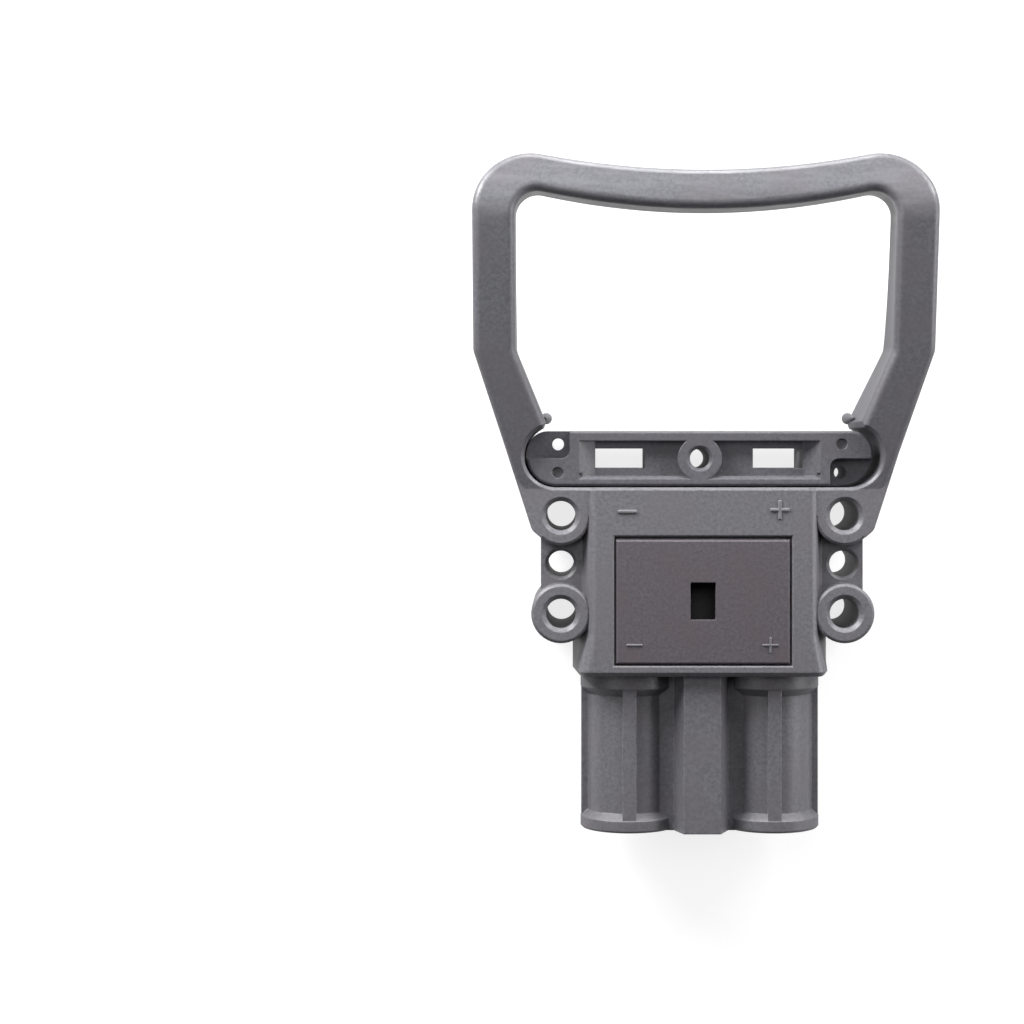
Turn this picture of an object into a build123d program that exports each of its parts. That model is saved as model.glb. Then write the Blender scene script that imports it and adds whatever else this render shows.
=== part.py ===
"""Plug half of a forklift battery connector.

A moulded housing with a pull handle holds two round contacts, a coding pin, a rating plate and a clamp.
Lengths are in millimetres. The origin is the centre of the four fixing holes on the flat back, +Z points
out of the front, +Y points towards the handle and the plug mates along -Y.
"""
from build123d import *
from math import radians, sqrt, tan
import os

# Overall sizes
EAR_DEPTH = 35.0  # back to the front of the fixing ears
BODY_PROUD = 1.0  # the front of the body stands this much in front of the ears
BODY_TOP = 22.1
BODY_BOTTOM = -32.0
BODY_HALF_WIDTH = 37.2
BODY_SHOULDER_X = 34.45
BODY_FRONT_HALF_WIDTH = 32.3
BODY_BACK_HALF_WIDTH = 35.0
BODY_SIDE_ROUND = 3.0
BODY_FLARE_Y = -20.0
BODY_FLARE_SHOULDER_X = 36.4
BODY_FLARE_FRONT_HALF_WIDTH = 34.8
BODY_END_CHAMFER = 1.2
NOSE_END = -77.5
MID_DEPTH = EAR_DEPTH / 2
BODY_DEPTH = EAR_DEPTH + BODY_PROUD

# Fixing ears
HOLE_X = 40.6
HOLE_Y = 14.0
HOLE_RADIUS = 4.2
HOLE_CHAMFER = 1.2
BOSS_RADIUS = 8.5
BOSS_CHAMFER = 0.7
BOSS_TOP = HOLE_Y + 4.0  # above this the handle's foot takes over
WEB_EDGE_X = 46.4
WEB_STEP = 5.5  # the web between two ears lies this far inside their faces
WEB_BACK = WEB_STEP
WEB_FRONT = EAR_DEPTH - WEB_STEP
SIDE_HOLE_RADIUS = 3.75
SIDE_HOLE_CHAMFER = 0.85

# Pull handle, drawn as a front outline and a side profile
LEG_ROOT = (5.7, -6.3)  # from the middle of the upper hole to where the leg leaves the ear
LEG_FOOT = (48.86, 9.9)
LEG_FOOT_ROUND = 3.0
LEG_BEND_Y = 61.0
HANDLE_HALF_WIDTH = 65.4
HANDLE_CORNER = 16.2
GRIP_TOP_MIDDLE = 111.4
GRIP_TOP_AT_LEG = 120.6
GRIP_UNDER_MIDDLE = 100.2
GRIP_UNDER_AT_LEG = 106.9
GAP_HALF_WIDTH = 53.4
GAP_CORNER = 6.3
GAP_BEND_Y = 61.5
BEND_ROUND = 5.0
CLAW_LINE_X = 41.1  # where the gap's slanted side would cross the pocket's middle line
CLAW_TIP_CUT = 1.4
CLAW_TIP_ZONE = 1.5  # the claws' tips reach this far above the pocket
CLAW_TOE_RISE = 2.1  # a small conical foot stands at the back of each claw, this far above the pocket
CLAW_TOE_PROUD = 0.4911  # and this far out of the claw's side
CLAW_TOE_BACK = 5.0
CLAW_TOE_RADIUS = 1.7
CLAW_TOE_TOP_RADIUS = 0.2
CLAW_TOE_HEIGHT = 15.0
HANDLE_SLOPE = 0.2  # the front rises this much per millimetre above the ears
HANDLE_SLOPE_START = 21.7
GRIP_FOLD_Y = 102.5  # where the front turns over to face the top of the grip
GRIP_FOLD = 18.0
GRIP_FOLD_ROUND = 20.0
HANDLE_TOP = GRIP_TOP_AT_LEG + 1.4  # the side profile ends just above the grip
PROFILE_HALF_WIDTH = HANDLE_HALF_WIDTH + 4.6  # and is cut a little wider than the handle
HANDLE_BACK = ((30.0, 0.0), (41.0, 3.5), (61.0, 18.5), (80.0, 28.8), (97.0, 33.8), (HANDLE_TOP, 34.8))
HANDLE_EDGE_ROUND = 2.2

# Pocket that holds the cable clamp
POCKET_RADIUS = 9.0
POCKET_HALF_WIDTH = 51.05
POCKET_RIM_CHAMFER = 0.8
POCKET_Y = BODY_TOP + POCKET_RADIUS
POCKET_TOP = POCKET_Y + POCKET_RADIUS
POCKET_END_X = POCKET_HALF_WIDTH - POCKET_RADIUS

# Contact towers and centre block
TOWER_X = 20.9
TOWER_RADIUS = 14.0
TOWER_CORE_RADIUS = 11.9
TOWER_BORE_RADIUS = 10.25
TOWER_RIB_WIDTH = 3.9
TOWER_RIB_SHY = 0.15  # the ribs stand this much less proud than the band and the collar
TOWER_BAND = 3.4
TOWER_BAND_BEVEL = 1.9
TOWER_COLLAR = 4.2
TOWER_EDGE = 0.5
NOSE_WEB_HALF_DEPTH = 8.0
BLOCK_FRONT_HALF_WIDTH = 5.3
BLOCK_HALF_WIDTH = 7.9
BLOCK_HALF_DEPTH = 15.0
BLOCK_SHOULDER_DEPTH = 8.0

# Chambers for the contacts, listed along the mating axis
PARTITION_FRONT = -33.0
PARTITION_BACK = -27.0
NECK_CLEARANCE = 0.2
CHAMBER_RADIUS = 9.5
CHAMBER_CLEARANCE = 0.3
CLIP_GROOVE_RADIUS = 10.6
CLIP_THICKNESS = 3.0
CLIP_GROOVE_PLAY = 0.2
CLIP_PLAY = 0.2
CLIP_RADIUS = CLIP_GROOVE_RADIUS - CLIP_GROOVE_PLAY

# Contacts
PIN_RADIUS = 5.0
PIN_TIP = -72.0
PIN_TIP_ROUND = 2.0
NECK_RADIUS = 7.0
NECK_PROUD = 1.0  # the neck reaches this far in front of the partition
COLLAR_RADIUS = CHAMBER_RADIUS - CHAMBER_CLEARANCE
COLLAR_LENGTH = 4.0
CLIP_START = PARTITION_BACK + COLLAR_LENGTH
BARREL_RADIUS = 7.5
BARREL_BORE_RADIUS = 5.6
BARREL_END = 12.0
BARREL_BORE_DEPTH = 26.0
BARREL_BORE_CONE = 3.0
CLIP_GAP_WIDTH = 9.0

# Rating plate and the recess it snaps into
PLATE_HALF_WIDTH = 24.85
PLATE_TOP = 7.6
PLATE_BOTTOM = -28.3
PLATE_THICKNESS = 3.0
PLATE_GAP = 0.5
PLATE_EDGE = 0.45
PLATE_TOP_EDGE = 0.9
PLATE_RECESS_EDGE = 0.35
WINDOW_WIDTH = 7.2
WINDOW_TOP = -5.0
WINDOW_BOTTOM = -15.7
PLATE_HEIGHT = PLATE_TOP - PLATE_BOTTOM
PLATE_MIDDLE_Y = (PLATE_TOP + PLATE_BOTTOM) / 2
WINDOW_MIDDLE_Y = (WINDOW_TOP + WINDOW_BOTTOM) / 2

# Coding pin and its chamber behind the window
CODING_CHAMBER_HALF_WIDTH = 5.6
CODING_CHAMBER_LENGTH = 18.0
CODING_CHAMBER_FLOOR = MID_DEPTH - 6.0
CODING_HEAD_PLAY = 0.3
CODING_HEAD_HEIGHT = 11.0
CODING_SHANK_RADIUS = 3.6
CODING_CLEARANCE = 0.15
CODING_TIP = -73.0
CODING_TIP_CHAMFER = 0.6
CODING_HEAD_HALF_WIDTH = CODING_CHAMBER_HALF_WIDTH - CODING_HEAD_PLAY
CODING_HEAD_LENGTH = CODING_CHAMBER_LENGTH - 2 * CODING_HEAD_PLAY

# Cable clamp halves, which take their outline from the pocket
CLAMP_X = -0.8  # the clamp lies a little to one side of its pocket
CLAMP_CLEARANCE = 0.4  # below the clamp and round its lower corners
CLAMP_TOP_PLAY = 1.86
CLAMP_SIDE_PLAY = 1.35
CLAMP_UPPER_TUCK = 2.8  # the upper corners are rounded this much tighter than the pocket
CLAMP_RECESS = 1.5  # the clamp's faces lie this far inside the ears' faces
CLAMP_TOP = POCKET_TOP - CLAMP_TOP_PLAY
CLAMP_BOTTOM = BODY_TOP + CLAMP_CLEARANCE
CLAMP_Y = (CLAMP_TOP + CLAMP_BOTTOM) / 2
CLAMP_HALF_HEIGHT = (CLAMP_TOP - CLAMP_BOTTOM) / 2
CLAMP_HALF_WIDTH = POCKET_HALF_WIDTH - CLAMP_SIDE_PLAY
CLAMP_LOWER_ROUND = POCKET_RADIUS - CLAMP_CLEARANCE
CLAMP_UPPER_ROUND = POCKET_RADIUS - CLAMP_UPPER_TUCK
CLAMP_FRONT = EAR_DEPTH - CLAMP_RECESS
CLAMP_RIB = 2.8
CLAMP_EDGE = 0.6
CLAMP_RIB_EDGE = 0.9
CLAMP_CHANNEL_END = 15.1  # from the clamp's end
CLAMP_CHANNEL_HALF_WIDTH = CLAMP_HALF_WIDTH - CLAMP_CHANNEL_END
CLAMP_RAMP = 4.6
CLAMP_CHANNEL_DEPTH = 3.6
CLAMP_BOSS_RADIUS = 6.3
CLAMP_BOSS_HOLE = 2.8
CLAMP_BOSS_CHAMFER = 0.9
CLAMP_WINDOW_X = 22.7
CLAMP_WINDOW = (14.4, 5.7)
CLAMP_SADDLE_RADIUS = 8.3
CLAMP_END_RECESS_LENGTH = 12.4
CLAMP_END_RECESS = 4.5
CLAMP_END_ROUND = 2.6
CLAMP_SCREW_INSET = (9.0, 3.77)  # from the clamp's end and from its long side
CLAMP_SCREW_X = CLAMP_HALF_WIDTH - CLAMP_SCREW_INSET[0]
CLAMP_SCREW_OFFSET = CLAMP_HALF_HEIGHT - CLAMP_SCREW_INSET[1]
CLAMP_SCREW_RADIUS = 1.75
CLAMP_NUT_RADIUS = 3.2  # to the corners of the hexagon
CLAMP_NUT_DEPTH = 4.5
CLAMP_DIMPLE_RADIUS = 1.6
CLAMP_DIMPLE_DEPTH = 1.0

BEYOND = 5.0  # cutters reach this far past the faces that they open
TALL = 2 * EAR_DEPTH  # more than any piece reaches to the front
NEAR = 0.1  # corners and edges are picked by their place, give or take this much
UPRIGHT = 0.9  # an edge that runs front to back has at least this much of +Z in its direction

os.makedirs("parts", exist_ok=True)


def across(x, y, z=MID_DEPTH):
    """A plane square to the mating axis, facing +Y."""
    return Plane(origin=(x, y, z), x_dir=(1, 0, 0), z_dir=(0, 1, 0))


def front_plane(z):
    """A plane parallel to the back."""
    return Plane.XY.offset(z)


def slope_front(y):
    """Height of the handle's front face at this distance from the holes' middle."""
    return EAR_DEPTH + HANDLE_SLOPE * (y - HANDLE_SLOPE_START)


def body_section(shoulder_x, front_half_width):
    """The body's outline across the mating axis, with its front corners rounded."""
    with BuildSketch() as section:
        with BuildLine():
            side = [
                (BODY_BACK_HALF_WIDTH, 0),
                (BODY_HALF_WIDTH, -MID_DEPTH),
                (shoulder_x, -WEB_FRONT),
                (front_half_width, -BODY_DEPTH),
            ]
            Polyline(*side, *[(-x, y) for x, y in reversed(side)], close=True)
        make_face()
        front_corners = section.vertices().group_by(Axis.Y)[0]
        fillet(front_corners, BODY_SIDE_ROUND)
    return section.sketch


def corners_at(sketch, y):
    """A sketch's corners at a height."""
    return sketch.vertices().filter_by_position(Axis.Y, y - NEAR, y + NEAR)


def gap_side(y):
    """How far the slanted side of the finger gap is from the middle."""
    return CLAW_LINE_X + (y - POCKET_Y) * (GAP_HALF_WIDTH - CLAW_LINE_X) / (GAP_BEND_Y - POCKET_Y)


def is_claw_tip(edge):
    """Whether an upright edge ends a claw."""
    return POCKET_Y + POCKET_RADIUS / 2 < edge.center().Y < POCKET_TOP + CLAW_TIP_ZONE


def is_handle_rim(edge):
    """Whether an edge runs round the handle above the claws, or up the outside of a leg."""
    middle = edge.center()
    above_claws = middle.Y > POCKET_TOP + CLAW_TIP_ZONE
    outside_leg = middle.X > GAP_HALF_WIDTH and middle.Y > HANDLE_SLOPE_START
    return middle.X > NEAR and abs((edge % 0.5).Z) < UPRIGHT and (above_claws or outside_leg)


# The handle: its outline with the finger gap, cut to its side profile
with BuildPart() as handle:
    with BuildSketch() as handle_outline:
        with BuildLine():
            right_foot = [
                (HOLE_X - BOSS_RADIUS, HOLE_Y),
                (HOLE_X, HOLE_Y),
                (HOLE_X + LEG_ROOT[0], HOLE_Y + LEG_ROOT[1]),
                LEG_FOOT,
                (HANDLE_HALF_WIDTH, LEG_BEND_Y),
                (HANDLE_HALF_WIDTH, GRIP_TOP_AT_LEG),
            ]
            left_foot = [(-x, y) for x, y in right_foot]
            Polyline(*right_foot)
            ThreePointArc(right_foot[-1], (0, GRIP_TOP_MIDDLE), left_foot[-1])
            Polyline(*left_foot)
            Line(left_foot[0], right_foot[0])
        make_face()
        fillet(corners_at(handle_outline, GRIP_TOP_AT_LEG), HANDLE_CORNER)
        fillet(corners_at(handle_outline, LEG_FOOT[1]), LEG_FOOT_ROUND)
        fillet(corners_at(handle_outline, LEG_BEND_Y), BEND_ROUND)
        with BuildSketch(mode=Mode.PRIVATE) as finger_gap:
            with BuildLine():
                right_gap = [
                    (BODY_FRONT_HALF_WIDTH - BEYOND, BODY_TOP - 2 * BEYOND),
                    (BODY_FRONT_HALF_WIDTH - BEYOND, POCKET_Y),
                    (CLAW_LINE_X, POCKET_Y),
                    (GAP_HALF_WIDTH, GAP_BEND_Y),
                    (GAP_HALF_WIDTH, GRIP_UNDER_AT_LEG),
                ]
                left_gap = [(-x, y) for x, y in right_gap]
                Polyline(*right_gap)
                ThreePointArc(right_gap[-1], (0, GRIP_UNDER_MIDDLE), left_gap[-1])
                Polyline(*left_gap)
                Line(left_gap[0], right_gap[0])
            make_face()
            fillet(corners_at(finger_gap, GRIP_UNDER_AT_LEG), GAP_CORNER)
            fillet(corners_at(finger_gap, GAP_BEND_Y), BEND_ROUND)
        add(finger_gap.sketch, mode=Mode.SUBTRACT)
        with Locations((0, POCKET_Y)):
            SlotOverall(2 * POCKET_HALF_WIDTH, 2 * POCKET_RADIUS, mode=Mode.SUBTRACT)
    extrude(amount=TALL)
    claw_tips = [edge for edge in handle.edges().filter_by(Axis.Z) if is_claw_tip(edge)]
    chamfer(claw_tips, CLAW_TIP_CUT)
    with BuildSketch(Plane.YZ.offset(-PROFILE_HALF_WIDTH)):
        with BuildLine():
            grip_front = slope_front(GRIP_FOLD_Y) - (HANDLE_TOP - GRIP_FOLD_Y) * tan(radians(GRIP_FOLD))
            Spline(*HANDLE_BACK, tangents=((1, 0), (1, 0)))
            Line(HANDLE_BACK[-1], (HANDLE_TOP, grip_front))
            FilletPolyline(
                (HANDLE_TOP, grip_front),
                (GRIP_FOLD_Y, slope_front(GRIP_FOLD_Y)),
                (HANDLE_SLOPE_START, EAR_DEPTH),
                radius=GRIP_FOLD_ROUND,
            )
            Polyline((HANDLE_SLOPE_START, EAR_DEPTH), (0, EAR_DEPTH), (0, 0), HANDLE_BACK[0])
        make_face()
    extrude(amount=2 * PROFILE_HALF_WIDTH, mode=Mode.INTERSECT)
    # The edges are rounded on the right half, which is then mirrored
    split(bisect_by=Plane.YZ, keep=Keep.TOP)
    handle_rims = [edge for edge in handle.edges() if is_handle_rim(edge)]
    fillet(handle_rims, HANDLE_EDGE_ROUND)
    # The pocket's rim: a cone square to the sloping front at its end, and a straight cut along the foot
    slope_start = (0, HANDLE_SLOPE_START, EAR_DEPTH)
    sloping_front = Plane(origin=slope_start, x_dir=(1, 0, 0), z_dir=(0, -HANDLE_SLOPE, 1))
    stretch = sqrt(1 + HANDLE_SLOPE**2)
    with BuildSketch(sloping_front) as pocket_end:
        with Locations((POCKET_END_X, (POCKET_Y - HANDLE_SLOPE_START) * stretch)):
            Circle(POCKET_RADIUS * stretch + POCKET_RIM_CHAMFER)
    extrude(pocket_end.sketch, amount=-2 * POCKET_RIM_CHAMFER, taper=45, mode=Mode.SUBTRACT)
    extrude(pocket_end.sketch, amount=POCKET_RIM_CHAMFER, mode=Mode.SUBTRACT)
    with BuildSketch(Plane.YZ):
        with BuildLine():
            Polyline(
                (BODY_TOP - POCKET_RIM_CHAMFER, EAR_DEPTH),
                (BODY_TOP + POCKET_RIM_CHAMFER, EAR_DEPTH - 2 * POCKET_RIM_CHAMFER),
                (BODY_TOP + POCKET_RIM_CHAMFER, EAR_DEPTH + BEYOND),
                (BODY_TOP - POCKET_RIM_CHAMFER, EAR_DEPTH + BEYOND),
                close=True,
            )
        make_face()
    extrude(amount=POCKET_END_X, mode=Mode.SUBTRACT)
    toe_y = POCKET_TOP + CLAW_TOE_RISE
    with Locations((gap_side(toe_y) - CLAW_TOE_PROUD, toe_y, CLAW_TOE_BACK)):
        standing = (Align.CENTER, Align.CENTER, Align.MIN)
        Cone(CLAW_TOE_RADIUS, CLAW_TOE_TOP_RADIUS, CLAW_TOE_HEIGHT, align=standing)
    mirror(about=Plane.YZ)

# The body block, wider at mid-depth than at its front, its front flaring out to that width at the lower end
with BuildPart() as body:
    with BuildSketch(across(0, BODY_TOP, 0)):
        add(body_section(BODY_SHOULDER_X, BODY_FRONT_HALF_WIDTH))
    extrude(amount=BODY_FLARE_Y - BODY_TOP)
    with BuildSketch(across(0, BODY_FLARE_Y, 0)):
        add(body_section(BODY_SHOULDER_X, BODY_FRONT_HALF_WIDTH))
    with BuildSketch(across(0, BODY_BOTTOM, 0)):
        add(body_section(BODY_FLARE_SHOULDER_X, BODY_FLARE_FRONT_HALF_WIDTH))
    loft(ruled=True)
    end_edges = body.faces().sort_by(Axis.Y)[0].edges()
    chamfer(end_edges, BODY_END_CHAMFER)
    rim = [edge for edge in body.edges().filter_by(Axis.X) if edge.center().Y > BODY_TOP - NEAR]
    chamfer(rim, POCKET_RIM_CHAMFER)

# One contact tower: a thin-walled tube with an end band, a collar and ribs
with BuildPart() as tower:
    with BuildSketch(front_plane(MID_DEPTH)):
        with BuildLine():
            band_end = NOSE_END + TOWER_BAND
            collar_end = BODY_BOTTOM - TOWER_COLLAR
            step = TOWER_RADIUS - TOWER_CORE_RADIUS
            Polyline(
                (0, NOSE_END),
                (TOWER_RADIUS - TOWER_EDGE, NOSE_END),
                (TOWER_RADIUS, NOSE_END + TOWER_EDGE),
                (TOWER_RADIUS, band_end),
                (TOWER_CORE_RADIUS, band_end + TOWER_BAND_BEVEL),
                (TOWER_CORE_RADIUS, collar_end - step),
                (TOWER_RADIUS, collar_end),
                (TOWER_RADIUS, BODY_BOTTOM + BEYOND),
                (0, BODY_BOTTOM + BEYOND),
                close=True,
            )
        make_face()
    revolve(axis=Axis((0, 0, MID_DEPTH), (0, 1, 0)))
    with BuildSketch(across(0, NOSE_END + TOWER_EDGE)):
        Rectangle(TOWER_RIB_WIDTH, TOWER_RADIUS * 3)
        Rectangle(TOWER_RADIUS * 3, TOWER_RIB_WIDTH)
        Circle(TOWER_RADIUS - TOWER_RIB_SHY, mode=Mode.INTERSECT)
    extrude(amount=BODY_BOTTOM - NOSE_END)

# The four ear bosses; the handle's feet cover the upper two from a little above the holes' middle
with BuildPart() as bosses:
    with BuildSketch():
        with GridLocations(2 * HOLE_X, 2 * HOLE_Y, 2, 2):
            Circle(BOSS_RADIUS)
    extrude(amount=EAR_DEPTH)
    chamfer(bosses.edges().filter_by(GeomType.CIRCLE).group_by(Axis.Z)[-1], BOSS_CHAMFER)
    with BuildSketch():
        with Locations((0, BOSS_TOP + BOSS_RADIUS)):
            Rectangle(2 * HANDLE_HALF_WIDTH, 2 * BOSS_RADIUS)
    extrude(amount=TALL, mode=Mode.SUBTRACT)

# The housing: body, handle, ears and nose as one moulding, then every hole in it
with BuildPart() as housing:
    add(body.part)
    add(handle.part)
    add(bosses.part)
    with BuildSketch(front_plane(WEB_BACK)):
        Rectangle(2 * WEB_EDGE_X, 2 * HOLE_Y)
    extrude(amount=WEB_FRONT - WEB_BACK)
    with Locations((-TOWER_X, 0, 0), (TOWER_X, 0, 0)):
        add(tower.part)
    with BuildSketch(across(0, NOSE_END)):
        Rectangle(2 * TOWER_X, 2 * NOSE_WEB_HALF_DEPTH)
        with BuildLine():
            block_side = [
                (BLOCK_FRONT_HALF_WIDTH, BLOCK_HALF_DEPTH),
                (BLOCK_HALF_WIDTH, BLOCK_SHOULDER_DEPTH),
                (BLOCK_HALF_WIDTH, -BLOCK_SHOULDER_DEPTH),
                (BLOCK_FRONT_HALF_WIDTH, -BLOCK_HALF_DEPTH),
            ]
            Polyline(*block_side, *[(-x, y) for x, y in reversed(block_side)], close=True)
        make_face()
    extrude(amount=BODY_BOTTOM - NOSE_END + BEYOND)

    # Fixing holes, chamfered at the front only
    with BuildSketch():
        with GridLocations(2 * HOLE_X, 2 * HOLE_Y, 2, 2):
            Circle(HOLE_RADIUS)
    extrude(amount=EAR_DEPTH, mode=Mode.SUBTRACT)
    with BuildSketch():
        with GridLocations(2 * HOLE_X, 0, 2, 1):
            Circle(SIDE_HOLE_RADIUS)
    extrude(amount=EAR_DEPTH, mode=Mode.SUBTRACT)
    with BuildSketch(front_plane(EAR_DEPTH)):
        with GridLocations(2 * HOLE_X, 2 * HOLE_Y, 2, 2):
            Circle(HOLE_RADIUS + HOLE_CHAMFER)
    extrude(amount=-HOLE_CHAMFER, taper=45, mode=Mode.SUBTRACT)
    with BuildSketch(front_plane(WEB_FRONT)):
        with GridLocations(2 * HOLE_X, 0, 2, 1):
            Circle(SIDE_HOLE_RADIUS + SIDE_HOLE_CHAMFER)
    extrude(amount=-SIDE_HOLE_CHAMFER, taper=45, mode=Mode.SUBTRACT)

    # Tower bores, the partition's holes, the contact chambers and the clip grooves
    with BuildSketch(across(0, NOSE_END - BEYOND)):
        with Locations((-TOWER_X, 0), (TOWER_X, 0)):
            Circle(TOWER_BORE_RADIUS)
    extrude(amount=PARTITION_FRONT - NOSE_END + BEYOND, mode=Mode.SUBTRACT)
    with BuildSketch(across(0, PARTITION_FRONT - BEYOND)):
        with Locations((-TOWER_X, 0), (TOWER_X, 0)):
            Circle(NECK_RADIUS + NECK_CLEARANCE)
    extrude(amount=PARTITION_BACK - PARTITION_FRONT + 2 * BEYOND, mode=Mode.SUBTRACT)
    with BuildSketch(across(0, PARTITION_BACK)):
        with Locations((-TOWER_X, 0), (TOWER_X, 0)):
            Circle(CHAMBER_RADIUS)
    extrude(amount=BODY_TOP - PARTITION_BACK + BEYOND, mode=Mode.SUBTRACT)
    with BuildSketch(across(0, CLIP_START - CLIP_GROOVE_PLAY)):
        with Locations((-TOWER_X, 0), (TOWER_X, 0)):
            Circle(CLIP_GROOVE_RADIUS)
    extrude(amount=CLIP_THICKNESS + 2 * CLIP_GROOVE_PLAY, mode=Mode.SUBTRACT)

    # Recess for the rating plate, and the coding chamber behind it
    with BuildSketch(front_plane(BODY_DEPTH - PLATE_THICKNESS)):
        with Locations((0, PLATE_MIDDLE_Y)):
            Rectangle(2 * (PLATE_HALF_WIDTH + PLATE_GAP), PLATE_HEIGHT + 2 * PLATE_GAP)
    extrude(amount=PLATE_THICKNESS + BEYOND, mode=Mode.SUBTRACT)
    with BuildSketch(front_plane(BODY_DEPTH)):
        with Locations((0, PLATE_MIDDLE_Y)):
            recess_rim = PLATE_GAP + PLATE_RECESS_EDGE
            Rectangle(2 * (PLATE_HALF_WIDTH + recess_rim), PLATE_HEIGHT + 2 * recess_rim)
    extrude(amount=-PLATE_RECESS_EDGE, taper=45, mode=Mode.SUBTRACT)
    with BuildSketch(front_plane(CODING_CHAMBER_FLOOR)):
        with Locations((0, WINDOW_MIDDLE_Y)):
            Rectangle(2 * CODING_CHAMBER_HALF_WIDTH, CODING_CHAMBER_LENGTH)
    extrude(amount=BODY_DEPTH - CODING_CHAMBER_FLOOR - PLATE_THICKNESS / 2, mode=Mode.SUBTRACT)
    with BuildSketch(across(0, NOSE_END - BEYOND)):
        Circle(CODING_SHANK_RADIUS + CODING_CLEARANCE)
    extrude(amount=WINDOW_MIDDLE_Y - NOSE_END + BEYOND, mode=Mode.SUBTRACT)

housing.part.label = "housing"
export_step(housing.part, "parts/housing.step")

# Rating plate, level with the body's front
with BuildPart() as rating_plate:
    with BuildSketch(front_plane(BODY_DEPTH - PLATE_THICKNESS)):
        with Locations((0, PLATE_MIDDLE_Y)):
            Rectangle(2 * PLATE_HALF_WIDTH, PLATE_HEIGHT)
    extrude(amount=PLATE_THICKNESS)
    front_edges = rating_plate.faces().sort_by(Axis.Z)[-1].edges().sort_by(Axis.Y)
    chamfer(front_edges[-1], PLATE_TOP_EDGE)
    front_edges = rating_plate.faces().sort_by(Axis.Z)[-1].edges().sort_by(Axis.Y)
    chamfer(front_edges[:-1], PLATE_EDGE)
    with BuildSketch(front_plane(0)):
        with Locations((0, WINDOW_MIDDLE_Y)):
            Rectangle(WINDOW_WIDTH, WINDOW_TOP - WINDOW_BOTTOM)
    extrude(amount=TALL, mode=Mode.SUBTRACT)

rating_plate.part.label = "rating_plate"
export_step(rating_plate.part, "parts/rating_plate.step")

# Coding pin: a head in the chamber and a round shank through the centre block
with BuildPart() as coding_pin:
    with BuildSketch(front_plane(CODING_CHAMBER_FLOOR)):
        with Locations((0, WINDOW_MIDDLE_Y)):
            Rectangle(2 * CODING_HEAD_HALF_WIDTH, CODING_HEAD_LENGTH)
    extrude(amount=CODING_HEAD_HEIGHT)
    with BuildSketch(across(0, CODING_TIP)):
        Circle(CODING_SHANK_RADIUS)
    extrude(amount=WINDOW_MIDDLE_Y - CODING_TIP)
    chamfer(coding_pin.edges().sort_by(Axis.Y)[0], CODING_TIP_CHAMFER)

coding_pin.part.label = "coding_pin"
export_step(coding_pin.part, "parts/coding_pin.step")

# One contact: pin, neck, collar and crimp barrel on one axis
with BuildPart() as contact:
    with BuildSketch(front_plane(MID_DEPTH)):
        with BuildLine():
            Polyline(
                (0, PIN_TIP),
                (PIN_RADIUS - PIN_TIP_ROUND, PIN_TIP),
                (PIN_RADIUS, PIN_TIP + PIN_TIP_ROUND),
                (PIN_RADIUS, PARTITION_FRONT - NECK_PROUD),
                (NECK_RADIUS, PARTITION_FRONT - NECK_PROUD),
                (NECK_RADIUS, PARTITION_BACK),
                (COLLAR_RADIUS, PARTITION_BACK),
                (COLLAR_RADIUS, CLIP_START),
                (BARREL_RADIUS, CLIP_START),
                (BARREL_RADIUS, BARREL_END),
                (BARREL_BORE_RADIUS, BARREL_END),
                (BARREL_BORE_RADIUS, BARREL_END - BARREL_BORE_DEPTH),
                (0, BARREL_END - BARREL_BORE_DEPTH - BARREL_BORE_CONE),
                close=True,
            )
        make_face()
    revolve(axis=Axis((0, 0, MID_DEPTH), (0, 1, 0)))
    tip = contact.edges().filter_by(GeomType.CIRCLE).group_by(Axis.Y)[1]
    fillet(tip, PIN_TIP_ROUND / 2)

with BuildPart() as contact_negative:
    with Locations((-TOWER_X, 0, 0)):
        add(contact.part)

contact_negative.part.label = "contact_negative"
export_step(contact_negative.part, "parts/contact_negative.step")

with BuildPart() as contact_positive:
    with Locations((TOWER_X, 0, 0)):
        add(contact.part)

contact_positive.part.label = "contact_positive"
export_step(contact_positive.part, "parts/contact_positive.step")

# One contact clip: an open ring behind the contact's collar
with BuildPart() as clip:
    with BuildSketch(across(0, CLIP_START)):
        Circle(CLIP_RADIUS)
        Circle(BARREL_RADIUS + CLIP_PLAY, mode=Mode.SUBTRACT)
        with Locations((0, -CLIP_RADIUS)):
            Rectangle(CLIP_GAP_WIDTH, CLIP_RADIUS, mode=Mode.SUBTRACT)
    extrude(amount=CLIP_THICKNESS)

with BuildPart() as contact_clip_negative:
    with Locations((-TOWER_X, 0, 0)):
        add(clip.part)

contact_clip_negative.part.label = "contact_clip_negative"
export_step(contact_clip_negative.part, "parts/contact_clip_negative.step")

with BuildPart() as contact_clip_positive:
    with Locations((TOWER_X, 0, 0)):
        add(clip.part)

contact_clip_positive.part.label = "contact_clip_positive"
export_step(contact_clip_positive.part, "parts/contact_clip_positive.step")

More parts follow.
